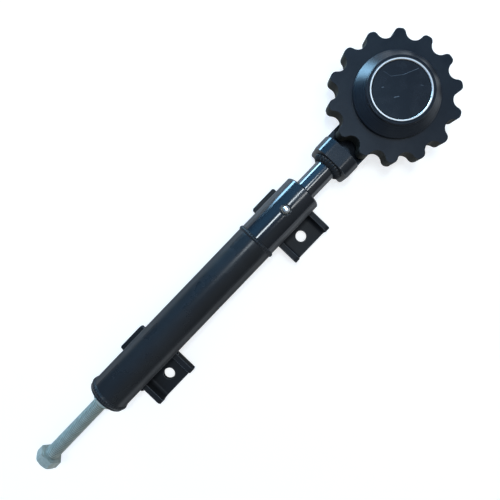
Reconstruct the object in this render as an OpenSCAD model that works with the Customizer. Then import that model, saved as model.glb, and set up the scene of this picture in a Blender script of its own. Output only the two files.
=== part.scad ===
// Spring loaded idler sprocket tensioner for a heavy roller chain, in millimetres.
// A steel tube on two folded brackets holds a coil spring. A bolt pushes on the spring at the
// rear end, and a greased rod pushes the idler sprocket out at the front end.
// X runs along the tube towards the sprocket and Z is up. The origin lies midway between the
// two bracket holes, on the underside of the bracket plates.

/* [Brackets] */
// Distance between the two bracket holes, along the tube
hole_spacing = 220; // [190:1:250]
// Diameter of the hole in each bracket
hole_d = 13; // [9:0.5:18]
// Sideways distance from the line of the holes to the tube's axis
hole_offset = 33.5; // [33:0.5:40]
// Width of a folded bracket over its two flanges
bracket_w = 54; // [50:1:60]
// Thickness of the bracket plate
plate_t = 6; // [4:0.5:8]
// Inside radius of the bracket's two bends
bend_r = 4; // [2:0.5:5]
// Distance from the centre of the hole to the free edge of the plate
edge_dist = 16; // [12:0.5:20]
// Height of the flanges above the plate
flange_h = 16.5; // [12:0.5:20]
// Radius of the flange's free top corner
flange_corner_r = 5; // [2:0.5:8]
// Width of the tongue behind the tube
tongue_w = 35; // [24:1:44]
// Reach of the tongue past the side of the tube
tongue_out = 6.2; // [3:0.2:14]

/* [Tube] */
// Outside diameter of the tube
tube_d = 44.5; // [42:0.1:50]
// Wall thickness of the tube
tube_wall = 4; // [2.5:0.1:4.4]
// Length of the tube
tube_len = 235.5; // [225:0.5:260]
// Distance from the rear bracket hole back to the rear end of the tube
tube_tail = 56.6; // [45:0.1:65]
// Height that the weld beads stand above the tube
bead_h = 1.1; // [0.5:0.1:1.6]
// Leg of the fillet welds that hold the brackets
fillet_leg = 4; // [2:0.5:5]

/* [Guide sleeve] */
// Outside diameter of the guide sleeve
sleeve_d = 44; // [41:0.1:48]
// Length of the sleeve outside the tube
sleeve_len = 75; // [66:0.5:90]
// Length of the spigot inside the tube
spigot_len = 15; // [8:0.5:20]
// Chamfer on the front edge of the sleeve
sleeve_chamfer = 1.2; // [0.5:0.1:2]
// Wall of the plain bushes
bush_wall = 2.5; // [1.5:0.1:3.5]
// Length of each plain bush
bush_len = 20; // [14:0.5:24]
// Radial depth of the grease pocket between the bushes
pocket_depth = 1.2; // [0.6:0.1:1.4]
// Length of the wiper ring
wiper_w = 5; // [3:0.5:7]
// Radial depth of the wiper ring
wiper_h = 4.5; // [3:0.1:6]
// Gap along the sleeve between the outer bush and the nipple's thread
nipple_gap = 1.5; // [0.5:0.1:6]
// Thread diameter of the grease nipple
nipple_d = 8; // [6:0.5:10]
// Width across the flats of the nipple's hexagon
nipple_af = 9; // [8:0.5:11]
// Height of the nipple's hexagon
nipple_hex_h = 3.6; // [2.5:0.1:5]
// Diameter of the nipple's head
nipple_head_d = 6.5; // [6:0.1:7.5]

/* [Plug, bolt and nut] */
// Thickness of the tapped plug in the rear end of the tube
plug_t = 14; // [10:0.5:20]
// Depth of the plug's face below the end of the tube
plug_recess = 3; // [1:0.5:5]
// Thread diameter of the adjusting bolt
bolt_d = 16; // [12:0.5:18]
// Length of the bolt under its head
bolt_len = 150; // [130:1:160]
// Distance from the end of the tube to the underside of the bolt's head
bolt_out = 88; // [80:0.5:95]
// Width across the flats of the bolt's head and of the nut
hex_af = 24; // [22:0.5:27]
// Height of the bolt's head
head_h = 10; // [7:0.5:13]
// Thickness of the lock nut
nut_t = 8; // [6:0.5:13]
// Outside diameter of the lock washer
washer_d = 30; // [26:0.5:34]
// Thickness of the lock washer
washer_t = 3; // [2:0.1:4]

/* [Spring] */
// Outside diameter of the spring
spring_d = 34; // [32:0.1:34.5]
// Diameter of the spring's wire
wire_d = 6; // [4:0.1:6.5]
// Number of free coils
free_coils = 11; // [7:1:12]
// Thickness of the rear spring seat
seat_t = 10; // [8:0.5:14]
// Depth of the pocket in the rear seat for the bolt's tip
tip_pocket = 5; // [2:0.5:6]
// Length of the pilot that centres the spring
pilot_len = 6; // [3:0.5:10]

/* [Rod] */
// Diameter of the push rod
rod_d = 25; // [22:0.5:26]
// Length of rod between the sleeve and the end block
rod_out = 40.7; // [36:0.1:50]
// Diameter of the rod's neck in the thrust collar
neck_d = 16; // [13:0.5:17]
// Thickness of the thrust collar
collar_t = 12; // [8:0.5:15]
// Depth of the rod's seat in the end block
rod_seat = 10; // [6:0.5:14]
// Leg of the weld between the rod and the end block
rod_weld = 2; // [1:0.5:4]

/* [End block] */
// Width of the end block
block_w = 47.5; // [44:0.5:52]
// Height of the block's top above the rod's axis
block_up = 20; // [18:0.5:23]
// Depth of the block's underside below the rod's axis
block_down = 21.5; // [19:0.5:24]
// Length of the block's full height part
block_len = 18; // [16:0.5:30]
// Radius of the block's two long top corners
block_corner_r = 15; // [6:0.5:18]
// Radius of the block's other edges
block_edge_r = 3.3; // [1:0.1:5]
// Thickness of the lug under the sprocket
lug_t = 12; // [9:0.5:13]
// Radius of the inside corner between block and lug
lug_fillet_r = 5; // [2:0.5:8]
// Distance from the block's rear face to the axle
axle_reach = 100.2; // [95:0.1:110]

/* [Sprocket] */
// Number of teeth
teeth = 14; // [14:1:16]
// Pitch of the roller chain
chain_pitch = 31.75; // [31:0.05:33]
// Diameter of the chain's rollers
roller_d = 19.05; // [17:0.05:20]
// Height of the tooth tips above the pitch circle
tip_h = 1.5; // [0.5:0.1:3]
// Width of the teeth
tooth_w = 18; // [14:0.1:19]
// Chamfer on the edges of the tooth tips
tip_chamfer = 0.8; // [0.2:0.1:1.5]
// Turn of the teeth from the position with a gap on the tube's axis
tooth_turn = 1.5; // [-12:0.1:12]
// Diameter of the foot of the hub's cone
cone_d = 94; // [88:0.5:100]
// Diameter of the hub's top rim
rim_d = 73.5; // [72:0.5:80]
// Height of the hub above the teeth
hub_rise = 16; // [15:0.1:20]
// Height of the round step at the foot of the cone
foot_h = 4.2; // [1:0.1:5]
// Height of the hub's cone
cone_h = 9; // [6:0.1:10]
// Diameter of the low boss behind the teeth
back_boss_d = 84; // [74:0.5:100]
// Height of the low boss behind the teeth
back_boss_h = 2; // [1:0.1:3]
// Gap between the hub and the lug
hub_gap = 2; // [1:0.1:4]

/* [Bearings] */
// Bore of the ball bearings
bearing_bore = 35; // [32:0.5:36]
// Outside diameter of the ball bearings
bearing_d = 62; // [61:0.5:63]
// Width of one ball bearing
bearing_w = 14; // [13:0.5:14]
// Diameter of the bearing balls
ball_d = 7.9; // [6:0.1:8.5]
// Number of balls in one bearing
ball_count = 11; // [7:1:14]
// Thickness of the bearings' rubber shields
shield_t = 0.7; // [0.4:0.1:0.8]
// Wall of the bearing sleeve in the sprocket
bearing_wall = 2.6; // [2:0.1:3]
// Thickness of the sleeve's rear lip
lip_t = 2.5; // [2:0.1:3.5]
// Height that the bearing sleeve stands proud of the hub's rim
sleeve_proud = 0.4; // [0.1:0.1:1]
// Thickness of the circlip in the hub
hub_clip_t = 2; // [1.5:0.1:2.2]
// Thickness of the circlips on the axle and on the rod
shaft_clip_t = 1.5; // [1:0.1:1.8]
// Thickness of the hub cap's sheet
cap_t = 1.6; // [1:0.1:2]
// Depth of the hub cap below the end of the bearing sleeve
cap_sunk = 0.8; // [0.4:0.1:1.2]
// Diameter of the axle's spigot in the lug
spigot_d = 25; // [20:0.5:30]

/* [Clearances] */
// Radial gap of a running fit
run_gap = 0.05; // [0.02:0.01:0.1]
// Radial gap between curved faces that are pressed or welded together
seat_gap = 0.05; // [0.02:0.01:0.1]
// Radial gap between the spring seats and the tube's bore
slide_gap = 0.4; // [0.3:0.05:0.6]
// End gap at a stop
stop_gap = 0.3; // [0.2:0.05:0.5]

/* [Hidden] */
$fn = 96;
axis_y = hole_offset;
tube_r = tube_d / 2;
tube_bore_r = tube_r - tube_wall;
axis_z = plate_t + tube_r;
hole_x = hole_spacing / 2;

tube_x0 = -hole_x - tube_tail;
tube_x1 = tube_x0 + tube_len;
sleeve_r = sleeve_d / 2;
sleeve_x1 = tube_x1 + sleeve_len;
spigot_x0 = tube_x1 - spigot_len;
rod_r = rod_d / 2;
bush_r = rod_r + run_gap + bush_wall;
wiper_r = rod_r + run_gap + wiper_h;
wiper_x0 = sleeve_x1 - wiper_w;
outer_bush_x0 = wiper_x0 - bush_len;
nipple_x = outer_bush_x0 - nipple_gap - nipple_d / 2;
// The hexagon sits on a spot face just deep enough to cross the round of the sleeve
nipple_face_r = nipple_af / sqrt(3) + 0.8;
nipple_z = axis_z + sqrt(pow(sleeve_r, 2) - pow(nipple_face_r, 2));
nipple_shank = sleeve_r - (rod_r + run_gap + pocket_depth) - (axis_z + sleeve_r - nipple_z) - 0.6;

plug_x0 = tube_x0 + plug_recess;
plug_x1 = plug_x0 + plug_t;
bolt_r = bolt_d / 2;
head_x1 = tube_x0 - bolt_out;
tip_x = head_x1 + bolt_len;
washer_x0 = plug_x0 - washer_t;

seat_x0 = tip_x - tip_pocket;
seat_x1 = seat_x0 + seat_t;
seat_r = tube_bore_r - slide_gap;
collar_x1 = spigot_x0 - stop_gap;
collar_x0 = collar_x1 - collar_t;
neck_r = neck_d / 2;
rod_x0 = collar_x0 - pilot_len;
wire_r = wire_d / 2;
coil_r = spring_d / 2 - wire_r;
pilot_r = spring_d / 2 - wire_d - 0.6;

block_x0 = sleeve_x1 + rod_out;
block_x1 = block_x0 + block_len;
axle_x = block_x0 + axle_reach;
block_z0 = axis_z - block_down;
block_z1 = axis_z + block_up;
lug_z1 = block_z0 + lug_t;

hub_z0 = lug_z1 + hub_gap;
tooth_z0 = hub_z0 + back_boss_h;
tooth_z1 = tooth_z0 + tooth_w;
hub_z1 = tooth_z1 + hub_rise;
pitch_r = chain_pitch / (2 * sin(180 / teeth));
gap_r = 0.5115 * roller_d;
tip_r = pitch_r + tip_h;
// A tooth is an arc about tooth_c that meets the arcs of the two gaps beside it smoothly
half_step = 180 / teeth;
gap_x = pitch_r * cos(half_step);
tooth_c = (pow(tip_r + gap_r, 2) - pow(pitch_r, 2)) / (2 * (tip_r + gap_r - gap_x));
tooth_r = tip_r - tooth_c;
// Direction from the centre of a gap's arc to the centre of the next tooth's arc
meet_a = atan2(tooth_c * sin(half_step), tooth_c * cos(half_step) - pitch_r);

race_r = bearing_d / 2;
axle_r = bearing_bore / 2;
ball_r = ball_d / 2;
ball_path_r = (race_r + axle_r) / 2;
groove_r = ball_r + 0.15;
outer_land_r = ball_path_r + 0.74 * ball_r;
inner_land_r = ball_path_r - 0.74 * ball_r;
bearing_z0 = hub_z0 + lip_t;
bearing_z1 = bearing_z0 + bearing_w;
bearing_z2 = bearing_z1 + bearing_w;
sleeve_out_r = race_r + bearing_wall;
sleeve_top = hub_z1 + sleeve_proud;
lip_r = race_r - 2.5;
shoulder_r = inner_land_r - 0.8;
hub_clip_r = race_r + 1.1;
cap_z1 = sleeve_top - cap_sunk;
axle_top = bearing_z2 + shaft_clip_t + 1;

// A cylinder along X between two stations of the tube's axis
module bar_x(x0, x1, r) {
  translate([x0, axis_y, axis_z])
    rotate([0, 90, 0])
      cylinder(h = x1 - x0, r = r);
}

// A cone along X between two stations of the tube's axis
module cone_x(x0, x1, r0, r1) {
  translate([x0, axis_y, axis_z])
    rotate([0, 90, 0])
      cylinder(h = x1 - x0, r1 = r0, r2 = r1);
}

// A profile of axial distance and radius, turned about the tube's axis
module turned_x() {
  translate([0, axis_y, axis_z])
    rotate([0, 90, 0])
      rotate_extrude()
        mirror([1, -1, 0])
          children();
}

// A rectangle with four round corners, drawn from its lower left corner
module round_rect(w, h, r_low, r_high) {
  translate([r_low, 0])
    square([w - 2 * r_low, h / 2]);
  translate([r_high, h / 2])
    square([w - 2 * r_high, h / 2]);
  translate([0, r_low])
    square([w, h - r_low - r_high]);
  for (x = [r_low, w - r_low])
    translate([x, r_low])
      circle(r = r_low);
  for (x = [r_high, w - r_high])
    translate([x, h - r_high])
      circle(r = r_high);
}

// A hexagon prism along Z with its corners chamfered on the chosen ends
module hex_prism(af, h, low, high) {
  corner_r = af / sqrt(3);
  face_r = 0.95 * af / 2;
  drop = (corner_r - face_r) * tan(30);
  intersection() {
    rotate([0, 0, 30])
      cylinder(h = h, r = corner_r, $fn = 6);
    rotate_extrude()
      polygon([
        [0, 0],
        [low ? face_r : corner_r + 1, 0],
        [corner_r + (low ? 0 : 1), low ? drop : 0],
        [corner_r + (high ? 0 : 1), high ? h - drop : h],
        [high ? face_r : corner_r + 1, h],
        [0, h]
      ]);
  }
}

// A circlip for a shaft: its open ends carry two eyes on the outside
module shaft_clip(groove_r, ring_w, t) {
  eye_r = 0.55 * ring_w;
  out_r = groove_r + ring_w;
  linear_extrude(t)
    difference() {
      union() {
        circle(r = out_r);
        for (a = [-14, 14])
          rotate(a)
            translate([out_r - 0.3 * eye_r, 0])
              circle(r = eye_r);
      }
      circle(r = groove_r);
      rotate(-7)
        square([2 * out_r, 2 * out_r * tan(7)]);
      for (a = [-14, 14])
        rotate(a)
          translate([out_r - 0.3 * eye_r, 0])
            circle(r = 0.45 * eye_r);
    }
}

// A circlip for a bore: its open ends carry two eyes on the inside
module bore_clip(groove_r, ring_w, t) {
  eye_r = 0.6 * ring_w;
  in_r = groove_r - ring_w;
  linear_extrude(t)
    difference() {
      union() {
        difference() {
          circle(r = groove_r);
          circle(r = in_r);
        }
        for (a = [-9, 9])
          rotate(a)
            translate([in_r, 0])
              circle(r = eye_r);
      }
      rotate(-4)
        square([2 * groove_r, 2 * groove_r * tan(4)]);
      for (a = [-9, 9])
        rotate(a)
          translate([in_r, 0])
            circle(r = 0.4 * eye_r);
    }
}

module outer_tube() {
  color([0.07, 0.08, 0.10])
    difference() {
      union() {
        bar_x(tube_x0, tube_x1, tube_r);
        weld_ring(tube_x1, 2.6);
        weld_ring(tube_x0 + 4.5, 3.6);
      }
      bar_x(tube_x0 - 1, tube_x1 + 4, tube_bore_r);
      sleeve_end_room();
    }
}

// A low round bead about the tube
module weld_ring(x, r) {
  turned_x()
    translate([x, tube_r + bead_h - r])
      circle(r = r, $fn = 32);
}

// Room for the sleeve's rear face, which the joint's bead runs on to
module sleeve_end_room() {
  bar_x(tube_x1, tube_x1 + 4, sleeve_r + seat_gap);
}

module end_plug() {
  color([0.09, 0.09, 0.10])
    difference() {
      bar_x(plug_x0, plug_x1, tube_bore_r - seat_gap);
      bar_x(plug_x0 - 1, plug_x1 + 1, bolt_r + run_gap);
    }
}

module guide_sleeve() {
  pocket_r = rod_r + run_gap + pocket_depth;
  color([0.06, 0.08, 0.13])
    difference() {
      union() {
        bar_x(spigot_x0, tube_x1, tube_bore_r - seat_gap);
        bar_x(tube_x1, sleeve_x1 - sleeve_chamfer, sleeve_r);
        cone_x(sleeve_x1 - sleeve_chamfer, sleeve_x1, sleeve_r, sleeve_r - sleeve_chamfer);
      }
      bar_x(spigot_x0 - 1, sleeve_x1 + 1, pocket_r);
      bar_x(spigot_x0 - 1, spigot_x0 + bush_len, bush_r + seat_gap);
      bar_x(outer_bush_x0, sleeve_x1 + 1, bush_r + seat_gap);
      bar_x(wiper_x0, sleeve_x1 + 1, wiper_r + seat_gap);
      translate([nipple_x, axis_y, nipple_z])
        cylinder(h = sleeve_r, r = nipple_face_r);
      translate([nipple_x, axis_y, axis_z])
        cylinder(h = sleeve_r, r = nipple_d / 2 + seat_gap);
    }
}

module bush(x0) {
  color([0.62, 0.45, 0.22])
    difference() {
      bar_x(x0, x0 + bush_len, bush_r);
      bar_x(x0 - 1, x0 + bush_len + 1, rod_r + run_gap);
    }
}

module inner_bush() {
  bush(spigot_x0);
}

module outer_bush() {
  bush(outer_bush_x0);
}

module rod_wiper() {
  lip_back = 1.2;
  color([0.05, 0.05, 0.05])
    turned_x()
      polygon([
        [wiper_x0, rod_r + run_gap],
        [sleeve_x1 - lip_back, rod_r + run_gap],
        [sleeve_x1, rod_r + run_gap + lip_back],
        [sleeve_x1, wiper_r],
        [wiper_x0, wiper_r]
      ]);
}

module grease_nipple() {
  neck = 0.36 * nipple_head_d;
  waist_h = 1.8;
  head_z = nipple_hex_h + waist_h;
  mouth_r = 0.9;
  color([0.75, 0.76, 0.78])
    translate([nipple_x, axis_y, nipple_z])
      difference() {
        union() {
          hex_prism(nipple_af, nipple_hex_h, false, true);
          translate([0, 0, -nipple_shank])
            cylinder(h = nipple_shank, r = nipple_d / 2);
          rotate_extrude()
            polygon([
              [0, nipple_hex_h - 0.5],
              [0.4 * nipple_af, nipple_hex_h - 0.5],
              [0.4 * nipple_af, nipple_hex_h],
              [neck, head_z],
              [neck, head_z + 1],
              [nipple_head_d / 2, head_z + 2.2],
              [nipple_head_d / 2, head_z + 3],
              [mouth_r + 0.5, head_z + 4.6],
              [0, head_z + 4.6]
            ]);
        }
        translate([0, 0, head_z + 3.2])
          cylinder(h = 3, r = mouth_r);
      }
}

// Plan of the bracket plate: wide under the holes, narrow behind the tube
module plate_plan() {
  corner_r = 2.5;
  tongue_y1 = axis_y + tube_r + tongue_out;
  translate([-bracket_w / 2, -edge_dist])
    square([bracket_w, edge_dist + axis_y]);
  translate([-tongue_w / 2, 0])
    round_rect(tongue_w, tongue_y1, corner_r, corner_r);
}

// Section across the two bends, a channel that opens upwards
module bracket_section() {
  out_r = bend_r + plate_t;
  full_h = plate_t + flange_h;
  translate([-bracket_w / 2, 0])
    difference() {
      union() {
        translate([out_r, 0])
          square([bracket_w - 2 * out_r, out_r]);
        translate([0, out_r])
          square([bracket_w, full_h - out_r]);
        for (x = [out_r, bracket_w - out_r])
          translate([x, out_r])
            circle(r = out_r);
      }
      translate([plate_t, plate_t + bend_r])
        square([bracket_w - 2 * plate_t, full_h]);
      translate([plate_t + bend_r, plate_t])
        square([bracket_w - 2 * plate_t - 2 * bend_r, full_h]);
      for (x = [plate_t + bend_r, bracket_w - plate_t - bend_r])
        translate([x, plate_t + bend_r])
          circle(r = bend_r);
    }
}

// Side view of a flange: its free top corner is round, and it ends under the tube
module flange_side() {
  full_h = plate_t + flange_h;
  translate([-edge_dist, 0])
    difference() {
      square([edge_dist + axis_y, full_h + 1]);
      difference() {
        translate([-1, full_h - flange_corner_r])
          square([flange_corner_r + 1, flange_corner_r + 2]);
        translate([flange_corner_r, full_h - flange_corner_r])
          circle(r = flange_corner_r);
      }
    }
}

// Fillet welds: one along each side of the tube on the plate, and where they are asked for one
// on the outside of each flange, following the tube
module bracket_welds(outside) {
  side = fillet_leg + 2.5;
  for (x = outside ? [-bracket_w / 2, bracket_w / 2] : [])
    intersection() {
      translate([x, axis_y, axis_z])
        rotate([0, 90, 0])
          rotate_extrude()
            translate([tube_r, 0])
              circle(r = fillet_leg, $fn = 32);
      translate([x - fillet_leg, axis_y - tube_r - fillet_leg, 2])
        cube([2 * fillet_leg, tube_r + fillet_leg, plate_t + flange_h - 3]);
    }
  for (s = [-1, 1])
    translate([-tongue_w / 2 + 3, axis_y + s * (sqrt(2 * tube_r * fillet_leg) + 1), plate_t])
      rotate([0, 90, 0])
        cylinder(h = tongue_w - 6, r = side / 2 + 0.5, $fn = 32);
}

// A bracket at a station of the tube, cut to sit against a pipe of radius pipe_r
module bracket(x, pipe_r, outside_welds) {
  color([0.06, 0.06, 0.07])
    difference() {
      translate([x, 0, 0]) {
        intersection() {
          translate([0, axis_y + tube_r + tongue_out, 0])
            rotate([90, 0, 0])
              linear_extrude(edge_dist + axis_y + tube_r + tongue_out)
                bracket_section();
          union() {
            rotate([90, 0, 90])
              translate([0, 0, -bracket_w / 2])
                linear_extrude(bracket_w)
                  flange_side();
            linear_extrude(plate_t)
              plate_plan();
          }
          linear_extrude(plate_t + flange_h)
            plate_plan();
        }
        intersection() {
          bracket_welds(outside_welds);
          translate([-bracket_w, -edge_dist, plate_t / 3])
            cube([2 * bracket_w, 3 * tube_d, axis_z]);
        }
      }
      translate([x, 0, -1])
        cylinder(h = plate_t + 2, r = hole_d / 2);
      bar_x(x - bracket_w, x + bracket_w, pipe_r + seat_gap);
    }
}

module rear_bracket() {
  bracket(-hole_x, tube_r, true);
}

module front_bracket() {
  bracket(hole_x, sleeve_r, false);
}

module adjusting_bolt() {
  face_t = 0.6;
  tip_c = 1.5;
  color([0.55, 0.58, 0.58]) {
    translate([head_x1 - face_t, axis_y, axis_z])
      rotate([0, -90, 0])
        hex_prism(hex_af, head_h - face_t, false, true);
    bar_x(head_x1 - face_t - 0.1, head_x1, 0.47 * hex_af);
    bar_x(head_x1 - 1, tip_x - tip_c, bolt_r);
    cone_x(tip_x - tip_c, tip_x, bolt_r, bolt_r - tip_c);
  }
}

module lock_nut() {
  color([0.60, 0.61, 0.62])
    difference() {
      translate([washer_x0 - nut_t, axis_y, axis_z])
        rotate([0, 90, 0])
          hex_prism(hex_af, nut_t, true, true);
      bar_x(washer_x0 - nut_t - 1, washer_x0 + 1, bolt_r + run_gap);
      cone_x(washer_x0 - nut_t - 1, washer_x0 - nut_t + 1, bolt_r + 2, bolt_r);
    }
}

module lock_washer() {
  color([0.66, 0.67, 0.68])
    difference() {
      bar_x(washer_x0, plug_x0, washer_d / 2);
      bar_x(washer_x0 - 1, plug_x0 + 1, bolt_r + 0.5);
    }
}

module rear_spring_seat() {
  color([0.35, 0.35, 0.36])
    difference() {
      union() {
        bar_x(seat_x0, seat_x1, seat_r);
        bar_x(seat_x1, seat_x1 + pilot_len - 1, pilot_r);
        cone_x(seat_x1 + pilot_len - 1, seat_x1 + pilot_len, pilot_r, pilot_r - 1);
      }
      bar_x(seat_x0 - 1, tip_x, bolt_r + 0.3);
    }
}

// Distance along the spring of its wire's centre, after a number of turns from the rear end
function coil_x(turn, length) =
  let (
    dead = wire_d * 1.03,
    free = length - wire_d - 2 * dead,
    last = free_coils + 1
  )
  wire_r + (turn < 1 ? dead * turn
    : turn < last ? dead + free * (turn - 1) / free_coils
    : dead + free + dead * (turn - last));

module compression_spring() {
  steps = 20;
  sides = 8;
  turns = free_coils + 2;
  length = collar_x0 - seat_x1 - stop_gap - 0.1;
  count = turns * steps;
  points = [
    for (i = [0 : count], k = [0 : sides - 1])
      let (
        a = 360 * i / steps,
        b = 360 * k / sides,
        r = coil_r + wire_r * cos(b)
      )
      [coil_x(i / steps, length) + wire_r * sin(b), r * cos(a), r * sin(a)]
  ];
  walls = [
    for (i = [0 : count - 1], k = [0 : sides - 1])
      let (next = (k + 1) % sides)
      [i * sides + k, i * sides + next, (i + 1) * sides + next, (i + 1) * sides + k]
  ];
  ends = [
    [for (k = [0 : sides - 1]) sides - 1 - k],
    [for (k = [0 : sides - 1]) count * sides + k]
  ];
  color([0.25, 0.26, 0.28])
    translate([seat_x1 + 0.1, axis_y, axis_z])
      polyhedron(points = points, faces = concat(walls, ends), convexity = 10);
}

module thrust_collar() {
  color([0.38, 0.38, 0.40])
    difference() {
      bar_x(collar_x0, collar_x1, seat_r);
      bar_x(collar_x0 - 1, collar_x1 + 1, neck_r + run_gap);
    }
}

module push_rod() {
  end_c = 1;
  groove_depth = 0.5;
  color([0.05, 0.09, 0.14])
    difference() {
      union() {
        cone_x(rod_x0, rod_x0 + end_c, neck_r - end_c, neck_r);
        bar_x(rod_x0 + end_c, collar_x1 + 0.5, neck_r);
        bar_x(collar_x1, block_x0 + rod_seat, rod_r);
      }
      difference() {
        bar_x(collar_x0 - shaft_clip_t, collar_x0, neck_r + 1);
        bar_x(collar_x0 - shaft_clip_t - 1, collar_x0 + 1, neck_r - groove_depth);
      }
    }
}

module rod_circlip() {
  color([0.20, 0.20, 0.22])
    translate([collar_x0 - shaft_clip_t, axis_y, axis_z])
      rotate([0, 90, 0])
        shaft_clip(neck_r - 0.45, 1.6, shaft_clip_t);
}

// Room above the lug, with a round inside corner against the block
module lug_room() {
  far = axle_x + block_w;
  tall = 2 * block_up + block_down;
  translate([block_x1 + lug_fillet_r, lug_z1])
    square([far - block_x1, tall]);
  translate([block_x1, lug_z1 + lug_fillet_r])
    square([far - block_x1, tall]);
  translate([block_x1 + lug_fillet_r, lug_z1 + lug_fillet_r])
    circle(r = lug_fillet_r);
}

module end_block() {
  half_w = block_w / 2;
  long = axle_x - block_x0 + half_w;
  color([0.05, 0.06, 0.08])
    difference() {
      union() {
        intersection() {
          translate([block_x0, axis_y - half_w, block_z0])
            rotate([90, 0, 90])
              linear_extrude(long)
                round_rect(block_w, block_up + block_down, block_edge_r, block_corner_r);
          translate([block_x0, axis_y - half_w, block_z0 - 1])
            linear_extrude(block_up + block_down + 2) {
              round_rect(long - half_w, block_w, block_edge_r, block_edge_r);
              translate([block_edge_r, 0])
                square([long - half_w - block_edge_r, block_w]);
              translate([long - half_w, half_w])
                circle(r = half_w);
            }
        }
        turned_x()
          difference() {
            translate([block_x0 - rod_weld, rod_r - 1])
              square([rod_weld + 1, rod_weld + 1]);
            translate([block_x0 - rod_weld, rod_r + rod_weld])
              circle(r = rod_weld, $fn = 32);
          }
      }
      translate([0, axis_y + half_w + 1, 0])
        rotate([90, 0, 0])
          linear_extrude(block_w + 2)
            lug_room();
      bar_x(block_x0 - rod_weld - 1, block_x0 + rod_seat, rod_r + seat_gap);
      translate([axle_x, axis_y, block_z0 - 1])
        cylinder(h = lug_t + 2, r = spigot_d / 2 + seat_gap);
    }
}

module stub_axle() {
  groove_depth = 1;
  color([0.42, 0.43, 0.45])
    translate([axle_x, axis_y, 0])
      difference() {
        union() {
          translate([0, 0, block_z0])
            cylinder(h = lug_t + 1, r = spigot_d / 2);
          translate([0, 0, lug_z1])
            cylinder(h = bearing_z0 - lug_z1, r = shoulder_r);
          translate([0, 0, bearing_z0 - 0.5])
            cylinder(h = axle_top - bearing_z0, r = axle_r);
          translate([0, 0, axle_top - 0.5])
            cylinder(h = 0.5, r1 = axle_r, r2 = axle_r - 0.5);
        }
        translate([0, 0, bearing_z2])
          difference() {
            cylinder(h = shaft_clip_t, r = axle_r + 1);
            translate([0, 0, -1])
              cylinder(h = shaft_clip_t + 2, r = axle_r - groove_depth);
          }
      }
}

module axle_circlip() {
  color([0.20, 0.20, 0.22])
    translate([axle_x, axis_y, bearing_z2])
      rotate(90)
        shaft_clip(axle_r - 0.95, 3.4, shaft_clip_t);
}

// A point of an arc of radius r about a centre at distance c and polar angle turn
function arc_point(turn, c, r, a) = [
  c * cos(turn) + r * cos(turn + a),
  c * sin(turn) + r * sin(turn + a)
];

// Outline of the teeth: the arc of each gap runs smoothly into the arc of the next tooth
module tooth_outline() {
  steps = 16;
  step = 360 / teeth;
  gap_sweep = 360 - 2 * meet_a;
  tooth_start = meet_a - 180 - half_step;
  polygon([
    for (i = [0 : teeth - 1], k = [0 : 2 * steps - 1])
      k < steps
        ? arc_point(i * step, pitch_r, gap_r, 360 - meet_a - gap_sweep * k / steps)
        : arc_point((i + 0.5) * step, tooth_c, tooth_r, tooth_start * (1 - 2 * (k - steps) / steps))
  ]);
}

module sprocket() {
  cone_r = cone_d / 2;
  rim_r = rim_d / 2;
  rim_c = 0.8;
  color([0.10, 0.11, 0.13])
    translate([axle_x, axis_y, 0])
      difference() {
        union() {
          intersection() {
            translate([0, 0, tooth_z0])
              linear_extrude(tooth_w)
                rotate(tooth_turn)
                  tooth_outline();
            rotate_extrude()
              polygon([
                [0, tooth_z0],
                [tip_r - tip_chamfer, tooth_z0],
                [tip_r + 0.1, tooth_z0 + tip_chamfer + 0.1],
                [tip_r + 0.1, tooth_z1 - tip_chamfer - 0.1],
                [tip_r - tip_chamfer, tooth_z1],
                [0, tooth_z1]
              ]);
          }
          rotate_extrude()
            polygon([
              [0, hub_z0],
              [back_boss_d / 2 - 1, hub_z0],
              [back_boss_d / 2, hub_z0 + 1],
              [back_boss_d / 2, tooth_z0 + 1],
              [cone_r, tooth_z1 - 1],
              [cone_r, tooth_z1 + foot_h],
              [rim_r, tooth_z1 + foot_h + cone_h],
              [rim_r, hub_z1 - rim_c],
              [rim_r - rim_c, hub_z1],
              [0, hub_z1]
            ]);
        }
        translate([0, 0, hub_z0 - 1])
          cylinder(h = hub_z1 - hub_z0 + 2, r = sleeve_out_r + seat_gap);
      }
}

module bearing_sleeve() {
  edge = 0.5;
  color([0.80, 0.82, 0.84])
    translate([axle_x, axis_y, 0])
      rotate_extrude()
        polygon([
          [lip_r, hub_z0],
          [sleeve_out_r, hub_z0],
          [sleeve_out_r, sleeve_top - edge],
          [sleeve_out_r - edge, sleeve_top],
          [race_r + seat_gap + edge, sleeve_top],
          [race_r + seat_gap, sleeve_top - edge],
          [race_r + seat_gap, bearing_z2 + hub_clip_t],
          [hub_clip_r + seat_gap, bearing_z2 + hub_clip_t],
          [hub_clip_r + seat_gap, bearing_z2],
          [race_r + seat_gap, bearing_z2],
          [race_r + seat_gap, bearing_z0],
          [lip_r, bearing_z0]
        ]);
}

module hub_circlip() {
  color([0.20, 0.20, 0.22])
    translate([axle_x, axis_y, bearing_z2])
      rotate(-90)
        bore_clip(hub_clip_r, 3.4, hub_clip_t);
}

module hub_cap() {
  cap_z0 = bearing_z2 + hub_clip_t;
  skirt = 1.6;
  round = 1;
  color([0.06, 0.07, 0.09])
    translate([axle_x, axis_y, 0])
      rotate_extrude() {
        polygon([
          [0, cap_z1 - cap_t],
          [race_r - skirt, cap_z1 - cap_t],
          [race_r - skirt, cap_z0],
          [race_r, cap_z0],
          [race_r, cap_z1 - round],
          [race_r - round, cap_z1],
          [0, cap_z1]
        ]);
      }
}

module rear_seal() {
  color([0.05, 0.05, 0.05])
    translate([axle_x, axis_y, hub_z0 + 0.2])
      difference() {
        cylinder(h = lip_t - 0.5, r = lip_r - seat_gap);
        translate([0, 0, -1])
          cylinder(h = lip_t + 2, r = shoulder_r + run_gap);
      }
}

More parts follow.
